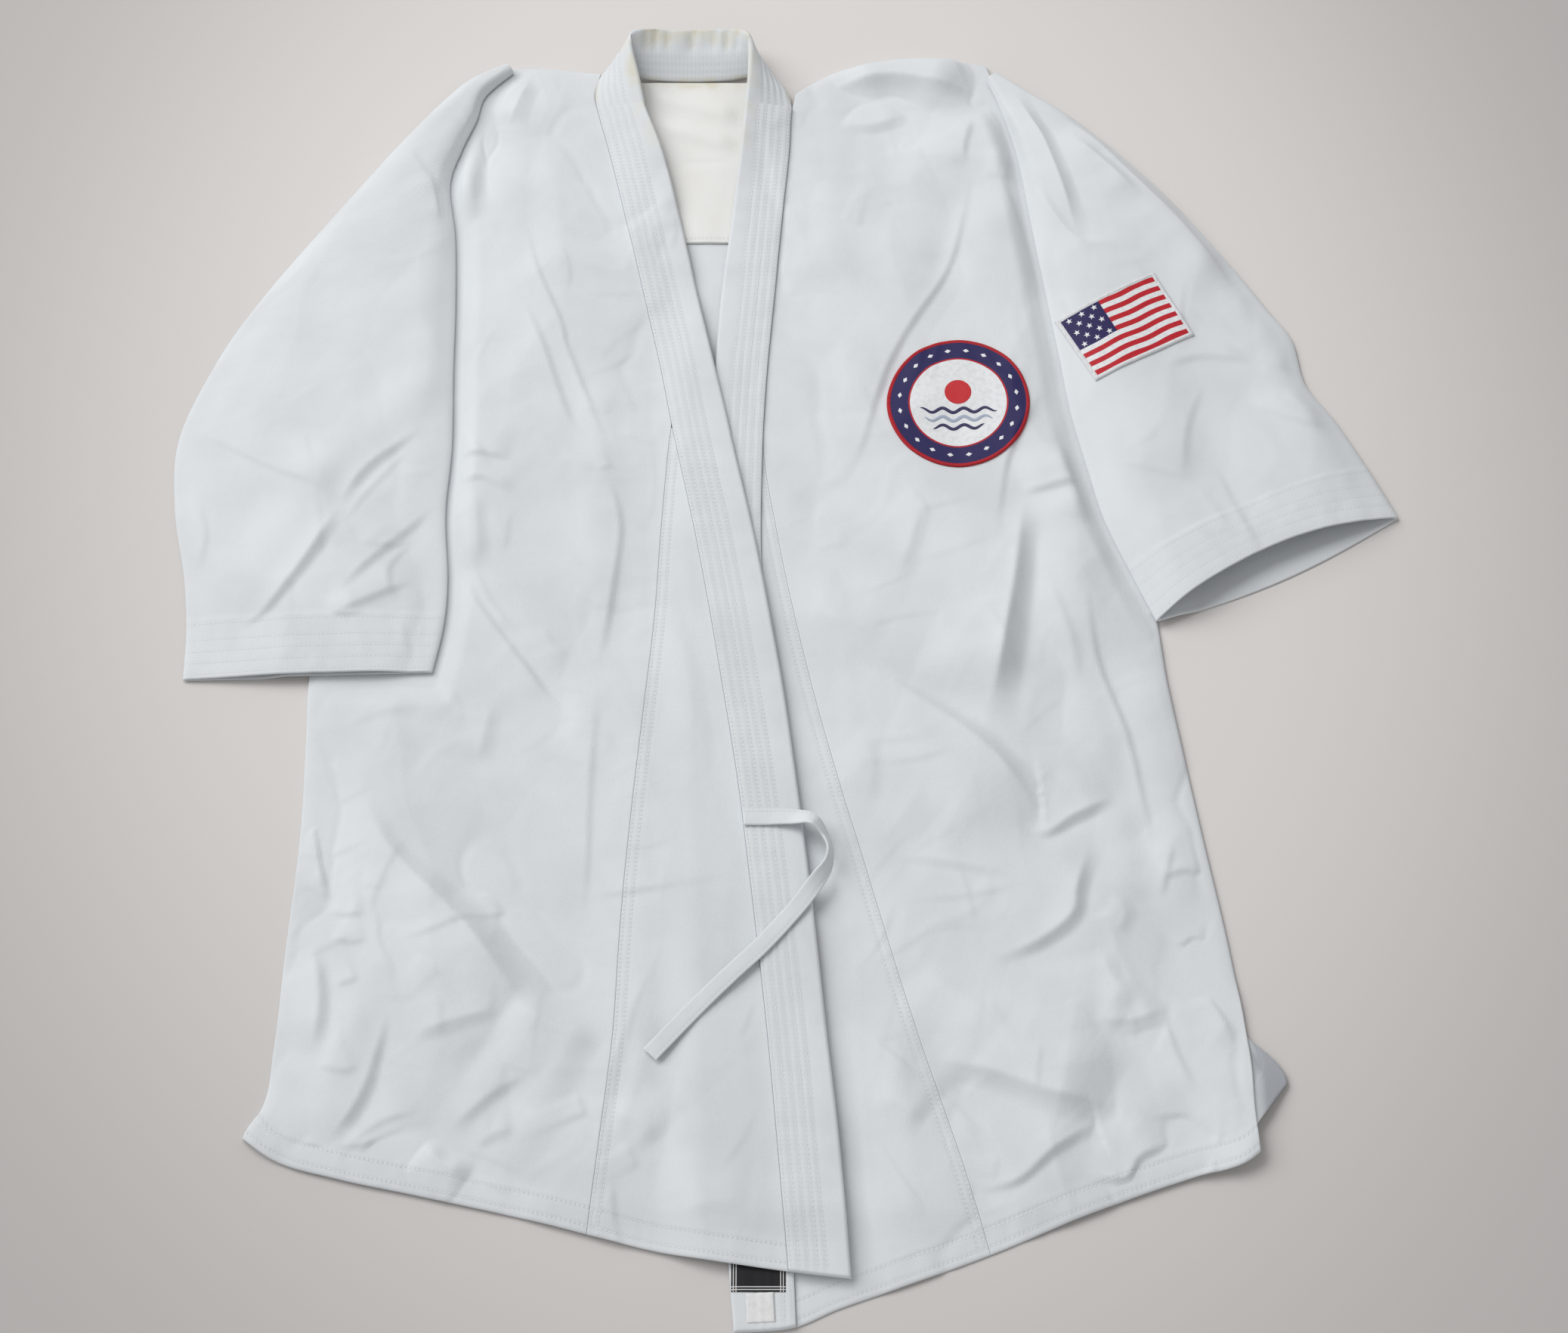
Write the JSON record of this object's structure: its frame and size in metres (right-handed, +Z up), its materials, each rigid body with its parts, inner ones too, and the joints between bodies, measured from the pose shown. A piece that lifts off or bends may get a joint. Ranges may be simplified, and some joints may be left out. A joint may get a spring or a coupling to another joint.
{
  "type": "karate gi jacket",
  "caption": "White cotton martial arts jacket laid flat with its front closed, with stitched lapel band, wide short sleeves, side tie and sewn patches.",
  "frame": {"origin": "centre of the bottom of the whole jacket as it lies on its back", "axes": "+Y from the hem to the collar, +X to the wearer's left, +Z up from the surface that it lies on"},
  "size_m": [0.862, 0.9621, 0.0293],
  "materials": {
    "white_canvas": "matt woven cotton canvas, cool white",
    "band_canvas": "folded and interlined canvas with rows of stitching",
    "cream_canvas": "matt woven cotton canvas, warmer white",
    "patch_embroidery": "embroidered twill, navy and white with a red border",
    "flag_embroidery": "embroidered twill, red and white stripes, navy canton, white border",
    "black_satin": "woven satin label",
    "white_tape": "printed tape label, left plain"
  },
  "bodies": {
    "root": {"back": "white_canvas", "back_yoke": "cream_canvas", "right_front": "white_canvas", "right_gore": "white_canvas", "right_band": "band_canvas", "left_front": "white_canvas", "left_gore": "white_canvas", "left_band": "band_canvas", "neck_band": "band_canvas", "right_sleeve": "white_canvas", "left_sleeve": "white_canvas", "tie": "white_canvas", "round_patch": "patch_embroidery", "flag_patch": "flag_embroidery", "black_label": "black_satin", "white_label": "white_tape"}
  },
  "joints": []
}
